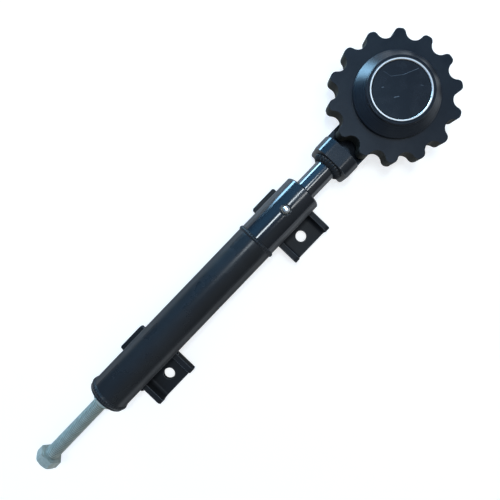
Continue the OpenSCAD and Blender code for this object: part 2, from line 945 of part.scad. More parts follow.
// The rings of one ball bearing, as sections at the bearing's middle height
module outer_race(z) {
  color([0.70, 0.71, 0.73])
    translate([axle_x, axis_y, z + bearing_w / 2])
      rotate_extrude()
        difference() {
          translate([outer_land_r, -bearing_w / 2])
            square([race_r - outer_land_r, bearing_w]);
          translate([ball_path_r, 0])
            circle(r = groove_r);
        }
}

module inner_race(z) {
  color([0.70, 0.71, 0.73])
    translate([axle_x, axis_y, z + bearing_w / 2])
      rotate_extrude()
        difference() {
          translate([axle_r + seat_gap, -bearing_w / 2])
            square([inner_land_r - axle_r - seat_gap, bearing_w]);
          translate([ball_path_r, 0])
            circle(r = groove_r);
        }
}

module balls(z) {
  color([0.78, 0.79, 0.80])
    translate([axle_x, axis_y, z + bearing_w / 2])
      for (i = [0 : ball_count - 1])
        rotate(i * 360 / ball_count)
          translate([ball_path_r, 0, 0])
            sphere(r = ball_r, $fn = 32);
}

// A crown cage: a ring on one side of the balls, with a pocket for each ball
module cage(z) {
  cage_w = 2.6;
  color([0.70, 0.66, 0.50])
    translate([axle_x, axis_y, z + bearing_w / 2])
      difference() {
        rotate_extrude()
          translate([ball_path_r - cage_w / 2, 0.8])
            square([cage_w, ball_r + 0.2]);
        for (i = [0 : ball_count - 1])
          rotate(i * 360 / ball_count)
            translate([ball_path_r, 0, 0])
              sphere(r = ball_r + 0.1, $fn = 32);
      }
}

module shields(z) {
  inset = 0.4;
  color([0.10, 0.10, 0.10])
    for (low = [z + inset, z + bearing_w - inset - shield_t])
      translate([axle_x, axis_y, low])
        difference() {
          cylinder(h = shield_t, r = outer_land_r - seat_gap);
          translate([0, 0, -1])
            cylinder(h = shield_t + 2, r = inner_land_r + run_gap);
        }
}

outer_tube();
end_plug();
guide_sleeve();
inner_bush();
outer_bush();
rod_wiper();
grease_nipple();
rear_bracket();
front_bracket();
adjusting_bolt();
lock_nut();
lock_washer();
rear_spring_seat();
compression_spring();
thrust_collar();
push_rod();
rod_circlip();
end_block();
stub_axle();
axle_circlip();
sprocket();
bearing_sleeve();
hub_circlip();
hub_cap();
rear_seal();
outer_race(bearing_z1);  // top_outer_race
inner_race(bearing_z1);  // top_inner_race
balls(bearing_z1);  // top_balls
cage(bearing_z1);  // top_cage
shields(bearing_z1);  // top_shields
outer_race(bearing_z0);  // bottom_outer_race
inner_race(bearing_z0);  // bottom_inner_race
balls(bearing_z0);  // bottom_balls
cage(bearing_z0);  // bottom_cage
shields(bearing_z0);  // bottom_shields
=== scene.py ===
import math

import bmesh
import bpy
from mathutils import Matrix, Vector


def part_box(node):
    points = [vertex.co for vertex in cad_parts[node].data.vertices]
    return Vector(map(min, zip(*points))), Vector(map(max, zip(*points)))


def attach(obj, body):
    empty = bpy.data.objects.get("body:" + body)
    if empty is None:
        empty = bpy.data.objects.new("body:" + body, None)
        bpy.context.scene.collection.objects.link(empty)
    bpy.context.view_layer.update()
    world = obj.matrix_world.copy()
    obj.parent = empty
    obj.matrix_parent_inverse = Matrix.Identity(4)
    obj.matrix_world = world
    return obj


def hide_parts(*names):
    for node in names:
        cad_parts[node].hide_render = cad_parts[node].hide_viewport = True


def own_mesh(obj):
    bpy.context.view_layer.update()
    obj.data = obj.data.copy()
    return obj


# A spring-loaded chain tensioner on two folded brackets. The frame holds its solid pieces in
# metres, with +X along the tube towards the sprocket and +Z up. This file gives them their
# finishes and adds the welds, the bolt's thread, the small marks of use and the spring's motion.
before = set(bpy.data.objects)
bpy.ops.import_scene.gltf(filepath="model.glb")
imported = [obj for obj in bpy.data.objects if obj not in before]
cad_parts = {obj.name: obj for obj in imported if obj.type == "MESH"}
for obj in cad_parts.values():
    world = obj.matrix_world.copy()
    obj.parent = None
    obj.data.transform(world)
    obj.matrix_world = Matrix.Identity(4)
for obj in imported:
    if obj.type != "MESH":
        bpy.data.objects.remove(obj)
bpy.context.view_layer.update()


# Camera, straight above the tube and near to it, turned so that the tube runs up to the right.
# The lens spans 550 mm at the height of the tube's axis.
tube_low, tube_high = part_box("outer_tube")
AXIS_Y = (tube_low.y + tube_high.y) / 2
AXIS_Z = (tube_low.z + tube_high.z) / 2
VIEW_ALONG = 0.0574
VIEW_ASIDE = -0.0020
VIEW_ABOVE = 0.440
VIEW_TURN = -46.15
VIEW_WIDTH = 0.550
FILM_WIDTH = 36.0

view = bpy.data.cameras.new("view_from_above")
view.sensor_width = FILM_WIDTH
view.lens = FILM_WIDTH * VIEW_ABOVE / VIEW_WIDTH
view.clip_start = 0.01
viewer = bpy.data.objects.new("view_from_above", view)
viewer.location = (VIEW_ALONG, AXIS_Y + VIEW_ASIDE, AXIS_Z + VIEW_ABOVE)
viewer.rotation_euler = (0, 0, math.radians(VIEW_TURN))
bpy.context.scene.collection.objects.link(viewer)
bpy.context.scene.camera = viewer
bpy.context.scene.view_settings.view_transform = "Standard"


# Floor of a plain pale studio table. Seen directly or in a reflection it is near white, and what
# light falls on it leaves the part's soft shadow. A camera under it looks through its back.
FLOOR_HALF = 40.0
FLOOR_DROP = 0.0004
FLOOR_GLOW = 0.70
FLOOR_GREY = (0.50, 0.49, 0.47, 1)


def add(owner, kind, inputs=None, **settings):
    """A new node in a material, a world or a tree. Its inputs are given by name or number, each
    as a value or as the output of another node"""
    tree = getattr(owner, "node_tree", owner)
    made = tree.nodes.new(kind)
    for name, value in settings.items():
        setattr(made, name, value)
    for name, value in (inputs or {}).items():
        if isinstance(value, bpy.types.NodeSocket):
            tree.links.new(value, made.inputs[name])
        else:
            made.inputs[name].default_value = value
    return made


def calc(owner, operation, a, b=0.0):
    """A sum on one or two numbers"""
    return add(owner, "ShaderNodeMath", {0: a, 1: b}, operation=operation).outputs[0]


floor_form = bmesh.new()
bmesh.ops.create_grid(floor_form, x_segments=2, y_segments=2, size=FLOOR_HALF)
bmesh.ops.translate(floor_form, verts=floor_form.verts, vec=(0, 0, -FLOOR_DROP))
floor_mesh = bpy.data.meshes.new("floor")
floor_form.to_mesh(floor_mesh)
floor_form.free()
floor = bpy.data.objects.new("floor", floor_mesh)
bpy.context.scene.collection.objects.link(floor)
floor_paper = bpy.data.materials.new("floor_paper")
floor_paper.use_nodes = True
floor_paper.node_tree.nodes.clear()
rays = add(floor_paper, "ShaderNodeLightPath").outputs
seen = calc(floor_paper, "MAXIMUM", rays["Is Camera Ray"], rays["Is Glossy Ray"])
seen = calc(floor_paper, "MAXIMUM", seen, rays["Is Transmission Ray"])
glow = add(floor_paper, "ShaderNodeEmission", {
    "Color": (1, 1, 1, 1), "Strength": calc(floor_paper, "MULTIPLY", seen, FLOOR_GLOW)})
matte = add(floor_paper, "ShaderNodeBsdfDiffuse", {"Color": FLOOR_GREY})
both = add(floor_paper, "ShaderNodeAddShader", {0: glow.outputs[0], 1: matte.outputs[0]})
from_below = calc(floor_paper, "MULTIPLY", rays["Is Camera Ray"],
                  add(floor_paper, "ShaderNodeNewGeometry").outputs["Backfacing"])
clear = add(floor_paper, "ShaderNodeBsdfTransparent").outputs[0]
paper = add(floor_paper, "ShaderNodeMixShader", {0: from_below, 1: both.outputs[0], 2: clear})
add(floor_paper, "ShaderNodeOutputMaterial", {"Surface": paper.outputs[0]})
floor_mesh.materials.append(floor_paper)


# Light: a dim room, grey on the near side, bluer above and on the far side, bluest beyond the
# sprocket, with a pale patch of ceiling. Two soft panels hang overhead, and a wide cool one with a
# narrow beam stands low on the far side, as a window would.
ROOM_NEAR = (0.42, 0.46, 0.49, 1)
ROOM_FAR = (0.27, 0.42, 0.66, 1)
ROOM_BLUE = (0.34, 1.05, 2.00, 1)
BLUE_WAY = (0.35, 0.74, 0.57)
ROOM_LOW = 0.35
CEILING = (0.60, 0.95, 1.40, 1)
CEILING_WAY = (0.28, 0.08, 0.957)
LAMP_HEIGHT = 1.5


def spread(owner, value, low, high, to_low=0, to_high=1):
    """A value between low and high, stretched to run between two others"""
    made = add(owner, "ShaderNodeMapRange", {
        "Value": value, "From Min": low, "From Max": high, "To Min": to_low, "To Max": to_high})
    return made.outputs["Result"]


def blend_colours(owner, share, first, second):
    """The first colour, turning into the second as the share goes from 0 to 1"""
    made = add(owner, "ShaderNodeMix", {0: share, 6: first, 7: second}, data_type="RGBA")
    return made.outputs[2]


def vector_calc(owner, operation, a, b=(0, 0, 0)):
    """A sum on one or two places or directions"""
    made = add(owner, "ShaderNodeVectorMath", {0: a, 1: b}, operation=operation)
    gives_number = operation in ("DOT_PRODUCT", "DISTANCE", "LENGTH")
    return made.outputs["Value" if gives_number else "Vector"]


def towards_way(direction):
    """How nearly a direction of the room is the given one, up to 1"""
    return vector_calc(room, "DOT_PRODUCT", towards, direction)


room = bpy.data.worlds.new("room")
room.use_nodes = True
room.node_tree.nodes.clear()
towards = add(room, "ShaderNodeTexCoord").outputs["Generated"]
far_share = spread(room, towards_way((0, 1, 0)), -0.6, 0.1)
blue_share = spread(room, towards_way(BLUE_WAY), 0.72, 0.98)
ceiling_share = spread(room, towards_way(CEILING_WAY), 0.965, 0.998)
wall = blend_colours(room, far_share, ROOM_NEAR, ROOM_FAR)
wall = blend_colours(room, blue_share, wall, ROOM_BLUE)
air = add(room, "ShaderNodeBackground", {
    "Color": blend_colours(room, ceiling_share, wall, CEILING),
    "Strength": spread(room, towards_way((0, 0, 1)), 0.05, 0.80, ROOM_LOW, 1)})
add(room, "ShaderNodeOutputWorld", {"Surface": air.outputs[0]})
bpy.context.scene.world = room


def panel(name, place, target, width, height, level, colour, beam=180):
    """A soft lamp of an even brightness, turned to a point, with its beam in degrees"""
    lamp = bpy.data.lights.new(name, "AREA")
    lamp.shape = "RECTANGLE"
    lamp.size = width
    lamp.size_y = height
    lamp.color = colour
    lamp.energy = level * width * height * math.pi
    lamp.spread = math.radians(beam)
    hung = bpy.data.objects.new(name, lamp)
    hung.location = place
    hung.rotation_euler = (Vector(target) - Vector(place)).to_track_quat("-Z", "Y").to_euler()
    bpy.context.scene.collection.objects.link(hung)


panel("overhead_far", (0.26, 0.30, LAMP_HEIGHT), (0.26, 0.30, 0),
      width=0.46, height=0.17, level=31.0, colour=(0.84, 0.94, 1.0))
panel("overhead_near", (0.47, -0.39, LAMP_HEIGHT), (0.47, -0.39, 0),
      width=0.34, height=0.20, level=13.0, colour=(0.94, 0.98, 1.0))
panel("low_window", (1.02, 1.82, 0.24), (0.55, 0.03, 0.03),
      width=1.35, height=0.46, level=2.5, colour=(0.36, 0.69, 1.0), beam=45)


# Tube and brackets: steel tube and folded plate in a satin black, sprayed and baked. It has a fine
# orange peel and dust that dulls it in patches. Its edges are paler: partly rubbed paint, partly
# painted glints of light along them. The brackets' coat is duller.
# Patches, specks and waves are counted to the metre, here and in the sections below.
PAINT_BLACK = (0.0135, 0.0140, 0.0150, 1)
PAINT_DUST = (0.028, 0.030, 0.032, 1)
RUBBED_AND_GLINT_GREY = (0.26, 0.27, 0.28, 1)
DUST_PATCHES = 26
DUST_SPECKS = 900
PEEL_WAVES = 420
EDGE_ROUND = 0.0006


def start_material(name):
    """A new material with its shader, and the place on the object, in metres"""
    made = bpy.data.materials.new(name)
    made.use_nodes = True
    made.node_tree.nodes.clear()
    shader = add(made, "ShaderNodeBsdfPrincipled")
    add(made, "ShaderNodeOutputMaterial", {"Surface": shader.outputs[0]})
    return made, add(made, "ShaderNodeTexCoord").outputs["Object"]


def feed(material, name, value):
    """Gives an input of the material's shader a value or the output of another node"""
    socket = material.node_tree.nodes["Principled BSDF"].inputs[name]
    if isinstance(value, bpy.types.NodeSocket):
        material.node_tree.links.new(value, socket)
    else:
        socket.default_value = value


def noise(material, place, scale, detail=3.0, rough=0.5):
    """Soft random clouds, with so many of them to the metre"""
    made = add(material, "ShaderNodeTexNoise",
               {"Vector": place, "Scale": scale, "Detail": detail, "Roughness": rough})
    return made.outputs["Fac"]


def bump(material, height, depth, normal=None):
    """The surface's direction when a height from 0 to 1 stands a depth in metres out of it"""
    inputs = {"Height": height, "Distance": depth, "Strength": 1.0}
    if normal:
        inputs["Normal"] = normal
    return add(material, "ShaderNodeBump", inputs).outputs[0]


def soft_edges(material, radius):
    """The surface's direction with its edges rounded"""
    return add(material, "ShaderNodeBevel", {"Radius": radius}, samples=6).outputs[0]


def facing_up(material):
    """How far the surface faces up or down, from 0 to 1"""
    normal = add(material, "ShaderNodeTexCoord").outputs["Normal"]
    upward = add(material, "ShaderNodeSeparateXYZ", {0: normal}).outputs["Z"]
    return calc(material, "ABSOLUTE", upward)


def sprayed_paint(name, coat, dust, roughness, peel, shine, rub_and_glint=0.0, edge=EDGE_ROUND):
    """Paint with an orange peel of depth peel, dulled by dust in patches and low on its sides,
    and paler along its edges: partly rubbed paint, partly a painted glint of light"""
    made, place = start_material(name)
    patches = noise(made, place, DUST_PATCHES)
    specks = noise(made, place, DUST_SPECKS, 2, 0.7)
    dusty = calc(made, "MULTIPLY", spread(made, patches, 0.35, 0.80, 0, 0.55),
                 spread(made, specks, 0.40, 0.70, 0.3, 1))
    rounded = soft_edges(made, edge)
    straight = add(made, "ShaderNodeNewGeometry").outputs["Normal"]
    bend = vector_calc(made, "DOT_PRODUCT", rounded, straight)
    # Edges are painted paler: partly rubbed paint, partly a painted glint of light along them.
    worn_and_glint = calc(made, "MULTIPLY", spread(made, bend, 0.80, 0.98, rub_and_glint, 0),
                spread(made, specks, 0.35, 0.65, 0.4, 1))
    dusty_coat = blend_colours(made, dusty, coat, dust)
    feed(made, "Base Color", blend_colours(made, worn_and_glint, dusty_coat, RUBBED_AND_GLINT_GREY))
    mottle = spread(made, patches, 0.3, 0.7, roughness - 0.04, roughness + 0.05)
    gloss = calc(made, "ADD", mottle, calc(made, "MULTIPLY", dusty, 0.12))
    side_dust = spread(made, facing_up(made), 0.40, 0.70, 0.45, 0)
    feed(made, "Roughness", calc(made, "ADD", gloss, side_dust))
    waves = noise(made, place, PEEL_WAVES, 2, 0.4)
    feed(made, "Normal", bump(made, waves, depth=peel, normal=rounded))
    feed(made, "Specular IOR Level", shine)
    return made


def dress(material, *nodes):
    """Gives solid pieces of the frame a finish"""
    for name in nodes:
        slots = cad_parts[name].data.materials
        if not len(slots):
            slots.append(material)
        for i in range(len(slots)):
            slots[i] = material


# The edges of the tube and the brackets carry painted glints as well as rubbed paint.
satin_paint = sprayed_paint("satin_paint", PAINT_BLACK, PAINT_DUST, roughness=0.26,
                            peel=0.00002, shine=0.26, rub_and_glint=0.5)
bracket_paint = sprayed_paint("bracket_paint", PAINT_BLACK, PAINT_DUST, roughness=0.42,
                              peel=0.00002, shine=0.12, rub_and_glint=0.9, edge=0.0011)
dress(satin_paint, "outer_tube")
dress(bracket_paint, "rear_bracket", "front_bracket")


# Welds of the housing: steel beads, rippled, uneven and painted over, each laid over the plain one
# of the frame. They join the guide sleeve to the tube and run round the tube's rear rim, and along
# the brackets on both sides of the tube. The rear bracket has them outside its flanges as well.
RIPPLE_PITCH = 0.0026
RIPPLE_HEIGHT = 0.10
RIPPLE_POINTS = 6
BEAD_SIDES = 18
BEAD_LUMPS = 260
BEAD_SUNK = 0.0012
RIM_BEAD_BACK = 0.0045
TUBE_RADIUS = 0.02225
SLEEVE_LENGTH = 0.075
PLATE = 0.006
FLANGE_FACE = 0.027
FLANGE_BEAD_OUT = 0.0006
FLANGE_BEAD_FROM = -172
FLANGE_BEAD_TO = -113
SIDE_BEAD_OUT = 0.0143
SIDE_BEAD_UP = 0.0004
SIDE_BEAD_POINTS = (-0.0138, -0.005, 0.005, 0.0138)
SLEEVE_END_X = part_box("guide_sleeve")[1].x
JOINT_X = SLEEVE_END_X - SLEEVE_LENGTH
RIM_X = tube_low.x + RIM_BEAD_BACK
weld_paint = sprayed_paint("weld_paint", PAINT_BLACK, PAINT_DUST, roughness=0.30,
                           peel=0.00004, shine=0.26)


def start_tree(name, sizes, on_path=False):
    """A new tree and its inputs: a path if it works on one, its sizes and a finish"""
    tree = bpy.data.node_groups.new(name, "GeometryNodeTree")
    if on_path:
        tree.interface.new_socket("Path", in_out="INPUT", socket_type="NodeSocketGeometry")
    for size in sizes:
        tree.interface.new_socket(size, in_out="INPUT", socket_type="NodeSocketFloat")
    tree.interface.new_socket("Finish", in_out="INPUT", socket_type="NodeSocketMaterial")
    tree.interface.new_socket("Shape", in_out="OUTPUT", socket_type="NodeSocketGeometry")
    return tree, add(tree, "NodeGroupInput").outputs


def end_tree(tree, given, shape):
    """Ends a tree with its shape made real and given its finish"""
    real = add(tree, "GeometryNodeRealizeInstances", {"Geometry": shape})
    painted = add(tree, "GeometryNodeSetMaterial", {
        "Geometry": real.outputs["Geometry"], "Material": given["Finish"]})
    add(tree, "NodeGroupOutput", {"Shape": painted.outputs["Geometry"]})


def weld_bead_tree():
    """A bead along each path: a round rod with ripples across it and a wandering edge"""
    tree, given = start_tree(
        "weld_bead", ("Bead radius", "Ripple pitch", "Ripple height", "Unevenness"), on_path=True)
    even = add(tree, "GeometryNodeResampleCurve", {
        "Curve": given["Path"],
        "Length": calc(tree, "DIVIDE", given["Ripple pitch"], RIPPLE_POINTS)}, mode="LENGTH")
    along = add(tree, "GeometryNodeSplineParameter").outputs["Length"]
    ripples = calc(tree, "DIVIDE", along, given["Ripple pitch"])
    wave = calc(tree, "SINE", calc(tree, "MULTIPLY", ripples, 2 * math.pi))
    swell = calc(tree, "ADD", calc(tree, "MULTIPLY", wave, given["Ripple height"]), 1.0)
    section = add(tree, "GeometryNodeCurvePrimitiveCircle", {
        "Resolution": BEAD_SIDES, "Radius": given["Bead radius"]})
    rod = add(tree, "GeometryNodeCurveToMesh", {
        "Curve": even.outputs["Curve"], "Profile Curve": section.outputs["Curve"],
        "Scale": swell, "Fill Caps": True})
    lumps = add(tree, "ShaderNodeTexNoise", {"Scale": BEAD_LUMPS, "Detail": 2.0}).outputs[0]
    outward = add(tree, "GeometryNodeInputNormal").outputs[0]
    push = add(tree, "ShaderNodeVectorMath", {
        0: outward,
        "Scale": calc(tree, "MULTIPLY", calc(tree, "SUBTRACT", lumps, 0.5), given["Unevenness"]),
    }, operation="SCALE")
    moved = add(tree, "GeometryNodeSetPosition", {
        "Geometry": rod.outputs["Mesh"], "Offset": push.outputs["Vector"]})
    smooth = add(tree, "GeometryNodeSetShadeSmooth", {"Geometry": moved.outputs["Geometry"]})
    end_tree(tree, given, smooth.outputs["Geometry"])
    return tree


WELD_BEAD = weld_bead_tree()


def grown(name, data, tree, values):
    """The shape that a tree makes from the given data, as a plain mesh object"""
    source = bpy.data.objects.new(name + "_source", data)
    bpy.context.scene.collection.objects.link(source)
    maker = source.modifiers.new("maker", "NODES")
    maker.node_group = tree
    sockets = {item.name: item.identifier for item in tree.interface.items_tree
               if item.in_out == "INPUT"}
    for label, value in values.items():
        maker[sockets[label]] = value
    shape = source.evaluated_get(bpy.context.evaluated_depsgraph_get())
    made = bpy.data.objects.new(name, bpy.data.meshes.new_from_object(shape))
    made.data.name = name
    bpy.data.objects.remove(source)
    bpy.context.scene.collection.objects.link(made)
    return made


def weld(name, paths, radius, unevenness, body):
    """Beads of one radius along a list of paths, each its points and whether it closes"""
    route = bpy.data.curves.new(name + "_route", "CURVE")
    route.dimensions = "3D"
    for points, closed in paths:
        spline = route.splines.new("POLY")
        spline.points.add(len(points) - 1)
        for point, place in zip(spline.points, points):
            point.co = (*place, 1)
        spline.use_cyclic_u = closed
    made = grown(name, route, WELD_BEAD, {
        "Bead radius": radius, "Ripple pitch": RIPPLE_PITCH, "Ripple height": RIPPLE_HEIGHT,
        "Unevenness": unevenness, "Finish": weld_paint})
    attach(made, body)


def round_tube(x, radius, start=0, end=360, steps=72):
    """Points of an arc about the tube's axis. Angles start at +Z and grow towards +Y"""
    last = steps if end - start < 360 else steps - 1
    turns = [math.radians(start + (end - start) * i / steps) for i in range(last + 1)]
    return [(x, AXIS_Y + radius * math.sin(a), AXIS_Z + radius * math.cos(a)) for a in turns]


weld("tube_welds", [(round_tube(JOINT_X, TUBE_RADIUS - BEAD_SUNK), True),
                    (round_tube(RIM_X, TUBE_RADIUS - BEAD_SUNK), True)],
     radius=0.0025, unevenness=0.0007, body="housing")

for name, outside in (("rear_bracket", True), ("front_bracket", False)):
    low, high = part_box(name)
    middle = (low.x + high.x) / 2
    fillets = []
    for side in (-FLANGE_FACE, FLANGE_FACE) if outside else ():
        fillets.append((round_tube(middle + side, TUBE_RADIUS + FLANGE_BEAD_OUT,
                                   FLANGE_BEAD_FROM, FLANGE_BEAD_TO, steps=40), False))
    for side in (-SIDE_BEAD_OUT, SIDE_BEAD_OUT):
        fillets.append(([(middle + x, AXIS_Y + side, PLATE + SIDE_BEAD_UP)
                         for x in SIDE_BEAD_POINTS], False))
    weld(name + "_welds", fillets, radius=0.0036, unevenness=0.0009, body="housing")


# Guide sleeve: a thick steel sleeve, turned smooth and finished in the same black as the tube,
# but glossier, so that the lamps show in it as sharp lines.
GLOSS_COAT = (0.0060, 0.0075, 0.0100, 1)
GLOSS_DUST = (0.020, 0.022, 0.026, 1)
# Its edges are painted paler: partly rubbed paint, partly painted glints of light.
gloss_paint = sprayed_paint("gloss_paint", GLOSS_COAT, GLOSS_DUST, roughness=0.11,
                            peel=0.000004, shine=0.43, rub_and_glint=0.4)
dress(gloss_paint, "guide_sleeve")


# Grease nipple, lock nut, washer and bolt: zinc plated steel, dull and slightly mottled, and darker
# in the roots of the bolt's thread. The nipple is darker from its hexagon down, and only its head
# is bright.
ZINC = (0.43, 0.455, 0.39, 1)
ZINC_DARK = (0.31, 0.335, 0.29, 1)
THREAD_ROOT_DARK = (0.23, 0.245, 0.215, 1)
ROOT_RADIUS = 0.0069
CREST_RADIUS = 0.0078
ZINC_MOTTLE = 150
ZINC_GRAIN = 1500
NIPPLE_ZINC = (0.86, 0.87, 0.88, 1)
NIPPLE_DARK = (0.70, 0.71, 0.73, 1)
NIPPLE_LOW_DARK = (0.075, 0.070, 0.062, 1)
NIPPLE_HEAD = 0.0052
HEAD_BLEND = 0.0008
NIPPLE_WAIST_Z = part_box("grease_nipple")[1].z - NIPPLE_HEAD


def zinc_plate(name, light, dark, roughness, metal):
    """Plating mottled between two colours, with a fine grain, and the place on it"""
    made, place = start_material(name)
    mottle = noise(made, place, ZINC_MOTTLE, 4, 0.6)
    feed(made, "Base Color", blend_colours(made, spread(made, mottle, 0.35, 0.65), light, dark))
    feed(made, "Roughness", spread(made, mottle, 0.3, 0.7, roughness - 0.06, roughness + 0.08))
    feed(made, "Normal", bump(made, noise(made, place, ZINC_GRAIN, 2), depth=0.00001))
    feed(made, "Metallic", metal)
    return made, place


def cover(material, share, colour):
    """Lays a colour over the one that a material has, as far as the share goes"""
    under = material.node_tree.nodes["Principled BSDF"].inputs["Base Color"].links[0].from_socket
    feed(material, "Base Color", blend_colours(material, share, under, colour))


def from_line(material, place, point, across):
    """Distance of a place from the line through a point, measured across the line"""
    away = vector_calc(material, "SUBTRACT", place, point)
    return vector_calc(material, "LENGTH", vector_calc(material, "MULTIPLY", away, across))


dull_zinc, dull_place = zinc_plate("zinc_plate", ZINC, ZINC_DARK, roughness=0.50, metal=0.20)
# The thread is made darker in its roots than on its crests.
thread_reach = from_line(dull_zinc, dull_place, (0, AXIS_Y, AXIS_Z), (0, 1, 1))
in_root = spread(dull_zinc, thread_reach, ROOT_RADIUS, CREST_RADIUS, 1, 0)
cover(dull_zinc, in_root, THREAD_ROOT_DARK)
feed(dull_zinc, "Specular IOR Level", 0.22)
dress(dull_zinc, "lock_nut", "lock_washer")

bright_zinc, bright_place = zinc_plate("nipple_zinc", NIPPLE_ZINC, NIPPLE_DARK,
                                       roughness=0.30, metal=1.0)
# The nipple is made darker from its hexagon down, and bright only on its head.
height = add(bright_zinc, "ShaderNodeSeparateXYZ", {0: bright_place}).outputs["Z"]
below_head = spread(bright_zinc, height, NIPPLE_WAIST_Z, NIPPLE_WAIST_Z + HEAD_BLEND, 1, 0)
cover(bright_zinc, below_head, NIPPLE_LOW_DARK)
dress(bright_zinc, "grease_nipple")


# Adjusting bolt: a hexagon head set screw, M16 with a 2 mm pitch, threaded over its whole
# length. The thread is rolled, so its flanks run in one helix from the head to the tip.
BOLT_RADIUS = 0.008
BOLT_PITCH = 0.002
THREAD_DEPTH = 0.00115
THREAD_SUNK = 0.0004
THREAD_RINGS = 602
THREAD_SIDES = 48
ROOT_FLAT = 0.16
FLANK_SLOPE = 1.5
SEAM_GAP = 0.00001
TIP_CHAMFER = 0.0015
HEAD_HEIGHT = 0.010
HEAD_FLATS = 0.024
HEAD_SIDES = 72
HEAD_SLOPE = math.tan(math.radians(30))
TOP_RADIUS = 0.80 * HEAD_FLATS / 2
CHAMFER_RADIUS = 0.93 * HEAD_FLATS / 2
WASHER_FACE_RADIUS = 0.95 * HEAD_FLATS / 2
WASHER_FACE = 0.0006
bolt_low, bolt_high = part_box("adjusting_bolt")
HEAD_X = bolt_low.x + HEAD_HEIGHT
TIP_X = bolt_high.x


def thread_tree():
    """A threaded rod along X: a grid rolled round the axis, with its crest on a helix"""
    tree, given = start_tree("rolled_thread", (
        "Start", "Length", "Radius", "Pitch", "Depth", "Chamfer", "Axis Y", "Axis Z"))
    sheet = add(tree, "GeometryNodeMeshGrid", {
        "Vertices X": THREAD_RINGS, "Vertices Y": THREAD_SIDES + 1, "Size X": 1.0, "Size Y": 1.0})
    here = add(tree, "ShaderNodeSeparateXYZ", {
        0: add(tree, "GeometryNodeInputPosition").outputs[0]}).outputs
    along = calc(tree, "MULTIPLY", calc(tree, "ADD", here["X"], 0.5), given["Length"])
    share = calc(tree, "ADD", here["Y"], 0.5)
    angle = calc(tree, "MULTIPLY", share, 2 * math.pi)
    turns = calc(tree, "SUBTRACT", calc(tree, "DIVIDE", along, given["Pitch"]), share)
    from_root = calc(tree, "SUBTRACT", calc(tree, "FRACT", turns), 0.5)
    ridge = calc(tree, "MULTIPLY", calc(tree, "ABSOLUTE", from_root), 2.0)
    flank = calc(tree, "MULTIPLY", calc(tree, "SUBTRACT", ridge, ROOT_FLAT), FLANK_SLOPE)
    crest = calc(tree, "MINIMUM", calc(tree, "MAXIMUM", flank, 0.0), 1.0)
    fall = calc(tree, "MULTIPLY", calc(tree, "SUBTRACT", 1.0, crest), given["Depth"])
    left = calc(tree, "SUBTRACT", given["Length"], along)
    cut = calc(tree, "SUBTRACT", given["Chamfer"], left)
    radius = calc(tree, "SUBTRACT", given["Radius"], calc(tree, "MAXIMUM", fall, cut))
    aside = calc(tree, "MULTIPLY", radius, calc(tree, "SINE", angle))
    above = calc(tree, "MULTIPLY", radius, calc(tree, "COSINE", angle))
    at = add(tree, "ShaderNodeCombineXYZ", {
        "X": calc(tree, "ADD", given["Start"], along),
        "Y": calc(tree, "ADD", given["Axis Y"], aside),
        "Z": calc(tree, "ADD", given["Axis Z"], above)})
    rolled = add(tree, "GeometryNodeSetPosition", {
        "Geometry": sheet.outputs["Mesh"], "Position": at.outputs[0]})
    closed = add(tree, "GeometryNodeMergeByDistance", {
        "Geometry": rolled.outputs["Geometry"], "Distance": SEAM_GAP})
    end_tree(tree, given, closed.outputs["Geometry"])
    return tree


def flat_reach(angle):
    """Distance of the head's side from its axis, at an angle round it"""
    off_middle = (angle + math.pi / 6) % (math.pi / 3) - math.pi / 6
    return HEAD_FLATS / 2 / math.cos(off_middle)


def add_hexagon_head(form):
    """The head: a round chamfered top towards -X, six flats, and a turned washer face under it"""
    top_x = HEAD_X - HEAD_HEIGHT
    under_x = HEAD_X - WASHER_FACE
    columns = []
    for i in range(HEAD_SIDES):
        angle = i * 2 * math.pi / HEAD_SIDES
        reach = flat_reach(angle)
        profile = ((top_x, TOP_RADIUS), (top_x, CHAMFER_RADIUS),
                   (top_x + (reach - CHAMFER_RADIUS) * HEAD_SLOPE, reach), (under_x, reach),
                   (under_x, WASHER_FACE_RADIUS), (HEAD_X, WASHER_FACE_RADIUS))
        columns.append([form.verts.new((x, AXIS_Y + radius * math.sin(angle),
                                        AXIS_Z + radius * math.cos(angle)))
                        for x, radius in profile])
    rings = list(zip(*columns))
    for first, second in zip(rings, rings[1:]):
        for i in range(HEAD_SIDES):
            j = (i + 1) % HEAD_SIDES
            form.faces.new((first[i], second[i], second[j], first[j]))
    form.faces.new(rings[0])
    form.faces.new(rings[-1][::-1])


bolt = grown("adjusting_bolt_threaded", bpy.data.meshes.new("thread_source"), thread_tree(), {
    "Start": HEAD_X - THREAD_SUNK, "Length": TIP_X - HEAD_X + THREAD_SUNK, "Radius": BOLT_RADIUS,
    "Pitch": BOLT_PITCH, "Depth": THREAD_DEPTH, "Chamfer": TIP_CHAMFER, "Axis Y": AXIS_Y,
    "Axis Z": AXIS_Z, "Finish": dull_zinc})
bolt_form = bmesh.new()
bolt_form.from_mesh(bolt.data)
ends = [edge for edge in bolt_form.edges if len(edge.link_faces) == 1]
bmesh.ops.holes_fill(bolt_form, edges=ends, sides=0)
add_hexagon_head(bolt_form)
bmesh.ops.recalc_face_normals(bolt_form, faces=bolt_form.faces)
# The tree leaves an empty slot before its finish, so the whole bolt is put on one new slot.
for bolt_face in bolt_form.faces:
    bolt_face.material_index = 0
bolt_form.to_mesh(bolt.data)
bolt_form.free()
bolt.data.materials.clear()
bolt.data.materials.append(dull_zinc)
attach(bolt, "bolt")
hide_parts("adjusting_bolt")


# Push rod: a ground steel bar in a hard, very glossy black. It slides in the guide sleeve, whose
# grease keeps it clean, so the lamps show in it as one long line.
ROD_COAT = (0.0050, 0.0075, 0.0110, 1)
rod_gloss = sprayed_paint("rod_gloss", ROD_COAT, GLOSS_DUST, roughness=0.13,
                          peel=0.000002, shine=0.70)
dress(rod_gloss, "push_rod")


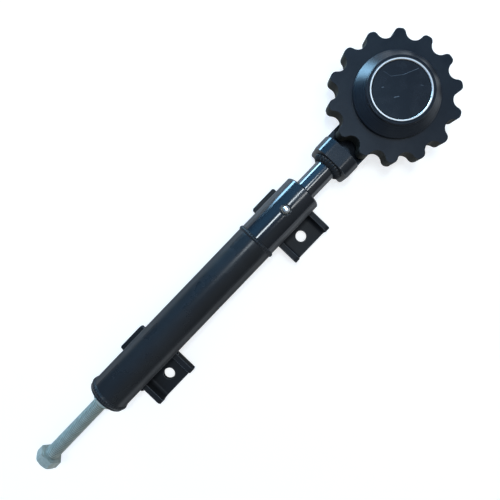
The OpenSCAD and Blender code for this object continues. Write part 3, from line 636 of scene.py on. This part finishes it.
# End block: machined from bar and sprayed in the glossy black. The rod is welded into it with a
# thick bead, left matt by the scale. The lug runs on under the sprocket and carries the axle.
ROD_RADIUS = 0.0125
ROD_SHOWN = 0.0407
BLOCK_BEAD_BACK = 0.0008
BLOCK_BEAD_SUNK = 0.0004
BLOCK_X = SLEEVE_END_X + ROD_SHOWN
# Its edges are painted paler: partly rubbed paint, partly painted glints of light.
block_gloss = sprayed_paint("block_gloss", GLOSS_COAT, GLOSS_DUST, roughness=0.15,
                            peel=0.000006, shine=0.40, rub_and_glint=0.6)
dress(block_gloss, "end_block")
weld("rod_weld", [(round_tube(BLOCK_X - BLOCK_BEAD_BACK, ROD_RADIUS - BLOCK_BEAD_SUNK), True)],
     radius=0.0056, unevenness=0.0005, body="rod")


# Stub axle, spring seats and plug: turned steel, left unpainted. The axle is welded in the lug.
# The seats and the plug work inside the tube, where the plug carries the bolt.
INNER_STEEL = (0.50, 0.51, 0.53, 1)
INNER_DARK = (0.36, 0.37, 0.39, 1)
STEEL_MOTTLE = 90
TOOL_MARKS = 2600


def bare_metal(name, light, dark, roughness):
    """Bare metal mottled between two colours, with fine tool marks, and the place on it"""
    made, place = start_material(name)
    mottle = noise(made, place, STEEL_MOTTLE, 3, 0.6)
    feed(made, "Base Color", blend_colours(made, spread(made, mottle, 0.35, 0.65), light, dark))
    feed(made, "Roughness", spread(made, mottle, 0.3, 0.7, roughness - 0.04, roughness + 0.06))
    feed(made, "Normal", bump(made, noise(made, place, TOOL_MARKS, 1), depth=0.000006))
    feed(made, "Metallic", 1.0)
    return made, place


inner_steel, _ = bare_metal("inner_steel", INNER_STEEL, INNER_DARK, roughness=0.32)
dress(inner_steel, "stub_axle", "thrust_collar", "rear_spring_seat", "end_plug")


# Sprocket: a flame cut and turned steel plate with a conical hub, in a satin blue black that is
# glossier on the hub. The chain has worn and dirtied the tooth flanks to a dull brown grey.
HUB_FOOT = 0.0470
FOOT_EDGE = 0.001
TOOTH_ROOT = 0.0560
DIRT_EDGE = 0.003
SPROCKET_COAT = (0.0080, 0.0105, 0.0145, 1)
SPROCKET_DUST = (0.020, 0.023, 0.027, 1)
FLANK_DIRT = (0.034, 0.032, 0.024, 1)
DUST_CLOUDS = 34
LATHE_RINGS = 1500
ring_low, ring_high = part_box("bearing_sleeve")
AXLE_X = (ring_low.x + ring_high.x) / 2


def from_axle(material, place):
    """Distance of a place from the axle's line"""
    return from_line(material, place, (AXLE_X, AXIS_Y, 0), (1, 1, 0))


def sprocket_finish():
    """Paint over the rings that the lathe left, clouded by dust, with dirt on the tooth flanks"""
    made, place = start_material("sprocket_paint")
    reach = from_axle(made, place)
    flank = calc(made, "MULTIPLY", spread(made, facing_up(made), 0.5, 0.8, 1, 0),
                 spread(made, reach, TOOTH_ROOT, TOOTH_ROOT + DIRT_EDGE))
    dusty = spread(made, noise(made, place, DUST_CLOUDS, 5, 0.6), 0.42, 0.72, 0, 0.6)
    coat = blend_colours(made, dusty, SPROCKET_COAT, SPROCKET_DUST)
    feed(made, "Base Color", blend_colours(made, flank, coat, FLANK_DIRT))
    out_from_axle = add(made, "ShaderNodeCombineXYZ", {"X": reach}).outputs[0]
    rings = noise(made, out_from_axle, LATHE_RINGS, 3, 0.7)
    off_hub = spread(made, reach, HUB_FOOT - FOOT_EDGE, HUB_FOOT + FOOT_EDGE, 0.28, 0.34)
    gloss = calc(made, "ADD", off_hub, spread(made, rings, 0.3, 0.7, -0.03, 0.04))
    feed(made, "Roughness", calc(made, "ADD", gloss, calc(made, "MULTIPLY", flank, 0.50)))
    rounded = soft_edges(made, EDGE_ROUND)
    peel = bump(made, noise(made, place, PEEL_WAVES, 2, 0.4), depth=0.00002, normal=rounded)
    feed(made, "Normal", bump(made, rings, depth=0.000008, normal=peel))
    feed(made, "Specular IOR Level", 0.25)
    return made


dress(sprocket_finish(), "sprocket")


# Bearing sleeve: a ground steel ring pressed into the hub. Its end shows bare and bright inside,
# and the hub's paint runs over the outer part of it.
RING_STEEL = (0.95, 0.90, 0.84, 1)
RING_DARK = (0.82, 0.78, 0.72, 1)
RING_PAINT = (0.035, 0.038, 0.042, 1)
BARE_RADIUS = 0.0327
PAINT_EDGE = 0.0003
bright_steel, ring_place = bare_metal("bright_steel", RING_STEEL, RING_DARK, roughness=0.44)
cover(bright_steel, spread(bright_steel, from_axle(bright_steel, ring_place),
                           BARE_RADIUS - PAINT_EDGE, BARE_RADIUS + PAINT_EDGE), RING_PAINT)
dress(bright_steel, "bearing_sleeve")


# Hub cap: a pressed steel cap in glossy black. Tools and gloves have left a long crooked scratch
# across its far side, a short one and a few marks beside them. Each runs from one point to another,
# measured from the cap's middle, and has a width and a share of bare metal.
CAP_COAT = (0.0070, 0.0085, 0.0110, 1)
CAP_CLOUDS = 60
CAP_WAVES = 300
SCRATCH_GREY = (0.13, 0.15, 0.17, 1)
SCRATCHES = (
    ((0.0007, 0.0266), (0.0023, 0.0174), 0.00022, 0.35),
    ((0.0023, 0.0174), (0.0126, 0.0091), 0.00030, 0.55),
    ((0.0126, 0.0091), (0.0280, 0.0024), 0.00030, 0.75),
    ((-0.0111, -0.0003), (-0.0070, -0.0030), 0.00060, 0.80),
    ((-0.0125, 0.0160), (-0.0110, 0.0150), 0.00070, 0.60),
    ((0.0170, -0.0110), (0.0185, -0.0135), 0.00050, 0.30),
)


def scratched_share(material, place):
    """Share of bare scratch at a place, falling to 0 beside the scratches"""
    total = 0.0
    for start, end, width, bare in SCRATCHES:
        first = (AXLE_X + start[0], AXIS_Y + start[1], 0)
        run = (end[0] - start[0], end[1] - start[1], 0)
        away = vector_calc(material, "SUBTRACT", place, first)
        flat = vector_calc(material, "MULTIPLY", away, (1, 1, 0))
        along = vector_calc(material, "DOT_PRODUCT", flat, run)
        share = spread(material, along, 0, run[0] ** 2 + run[1] ** 2)
        foot = add(material, "ShaderNodeVectorMath", {0: run, "Scale": share}, operation="SCALE")
        gap = vector_calc(material, "DISTANCE", flat, foot.outputs["Vector"])
        scratch = spread(material, gap, 0.3 * width, width, bare, 0)
        total = calc(material, "MAXIMUM", scratch, total)
    return total


def cap_finish():
    """Glossy paint under a film of dust, with its scratches"""
    made, place = start_material("cap_paint")
    scratched = scratched_share(made, place)
    film = spread(made, noise(made, place, CAP_CLOUDS, 5, 0.65), 0.45, 0.75, 0, 0.5)
    coat = blend_colours(made, film, CAP_COAT, GLOSS_DUST)
    feed(made, "Base Color", blend_colours(made, scratched, coat, SCRATCH_GREY))
    gloss = spread(made, film, 0, 0.5, 0.14, 0.24)
    feed(made, "Roughness", calc(made, "ADD", gloss, calc(made, "MULTIPLY", scratched, 0.3)))
    feed(made, "Normal", bump(made, noise(made, place, CAP_WAVES), depth=0.000006))
    feed(made, "Specular IOR Level", 0.40)
    return made


dress(cap_finish(), "hub_cap")


# Compression spring: oiled round wire, wound cold, with one closed coil at each end. It is made in
# two lengths that meet in the middle of the tube, because the bolt presses its rear end forward
# and the rod its front end back.
SPRING_STEEL = (0.16, 0.17, 0.19, 1)
SPRING_DARK = (0.10, 0.11, 0.12, 1)
WIRE_RADIUS = 0.003
WIRE_SIDES = 16
COIL_RADIUS = 0.014
COIL_STEPS = 40
FREE_COILS = 11
MIDDLE_TURN = 1 + FREE_COILS / 2
CLOSED_PITCH = 0.00618
spring_low, spring_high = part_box("compression_spring")
FREE_LENGTH = spring_high.x - spring_low.x - 2 * WIRE_RADIUS - 2 * CLOSED_PITCH
spring_steel, _ = bare_metal("spring_steel", SPRING_STEEL, SPRING_DARK, roughness=0.38)


def coil_x(turn):
    """Place along the tube of the wire's centre, after a number of turns from the rear end"""
    open_turns = min(max(turn - 1, 0), FREE_COILS)
    closed_turns = turn - open_turns
    return (spring_low.x + WIRE_RADIUS + closed_turns * CLOSED_PITCH
            + open_turns * FREE_LENGTH / FREE_COILS)


def wound_wire(name, first, last):
    """A closed mesh of the wire between two turns of the spring"""
    form = bmesh.new()
    rings = []
    for i in range(int((last - first) * COIL_STEPS) + 1):
        turn = first + i / COIL_STEPS
        round_coil = turn * 2 * math.pi
        ring = []
        for k in range(WIRE_SIDES):
            round_wire = k * 2 * math.pi / WIRE_SIDES
            reach = COIL_RADIUS + WIRE_RADIUS * math.cos(round_wire)
            ring.append(form.verts.new((coil_x(turn) + WIRE_RADIUS * math.sin(round_wire),
                                        AXIS_Y + reach * math.cos(round_coil),
                                        AXIS_Z + reach * math.sin(round_coil))))
        rings.append(ring)
    for one, two in zip(rings, rings[1:]):
        for k in range(WIRE_SIDES):
            n = (k + 1) % WIRE_SIDES
            form.faces.new((one[k], one[n], two[n], two[k])).smooth = True
    form.faces.new(rings[0])
    form.faces.new(rings[-1])
    bmesh.ops.recalc_face_normals(form, faces=form.faces)
    mesh = bpy.data.meshes.new(name)
    form.to_mesh(mesh)
    form.free()
    mesh.materials.append(spring_steel)
    made = bpy.data.objects.new(name, mesh)
    bpy.context.scene.collection.objects.link(made)
    return made


for name, first, last, body, joint, end_x in (
        ("spring_rear_half", 0, MIDDLE_TURN, "spring_pusher", "bolt_feed", spring_low.x),
        ("spring_front_half", MIDDLE_TURN, FREE_COILS + 2, "thrust", "rod_slide", spring_high.x)):
    half = wound_wire(name, first, last)
    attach(half, body)
    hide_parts("compression_spring")
    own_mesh(half)


# Bearings, bushes, rings and seals, all fitted inside: ground races and balls in brass cages,
# bronze bushes, spring steel rings, and a wiper, a seal and shields of black rubber.
RACE_STEEL = (0.75, 0.76, 0.78, 1)
RACE_DARK = (0.62, 0.63, 0.65, 1)
BRONZE = (0.55, 0.33, 0.13, 1)
BRONZE_DARK = (0.42, 0.25, 0.10, 1)
BRASS = (0.72, 0.55, 0.22, 1)
BRASS_DARK = (0.58, 0.43, 0.17, 1)
RUBBER = (0.012, 0.012, 0.012, 1)
RUBBER_PALE = (0.022, 0.022, 0.022, 1)
RUBBER_CLOUDS = 300
RUBBER_GRAIN = 1800


def rubber_finish():
    """Dull black rubber with a fine grain"""
    made, place = start_material("black_rubber")
    clouds = noise(made, place, RUBBER_CLOUDS)
    feed(made, "Base Color", blend_colours(made, clouds, RUBBER, RUBBER_PALE))
    feed(made, "Normal", bump(made, noise(made, place, RUBBER_GRAIN), depth=0.00002))
    feed(made, "Roughness", 0.62)
    return made


bearing_steel, _ = bare_metal("bearing_steel", RACE_STEEL, RACE_DARK, roughness=0.14)
bronze, _ = bare_metal("bronze", BRONZE, BRONZE_DARK, roughness=0.34)
cage_brass, _ = bare_metal("cage_brass", BRASS, BRASS_DARK, roughness=0.30)
dress(spring_steel, "rod_circlip", "axle_circlip", "hub_circlip")
dress(bearing_steel, "top_outer_race", "top_inner_race", "top_balls",
      "bottom_outer_race", "bottom_inner_race", "bottom_balls")
dress(bronze, "inner_bush", "outer_bush")
dress(cage_brass, "top_cage", "bottom_cage")
dress(rubber_finish(), "rod_wiper", "rear_seal", "top_shields", "bottom_shields")
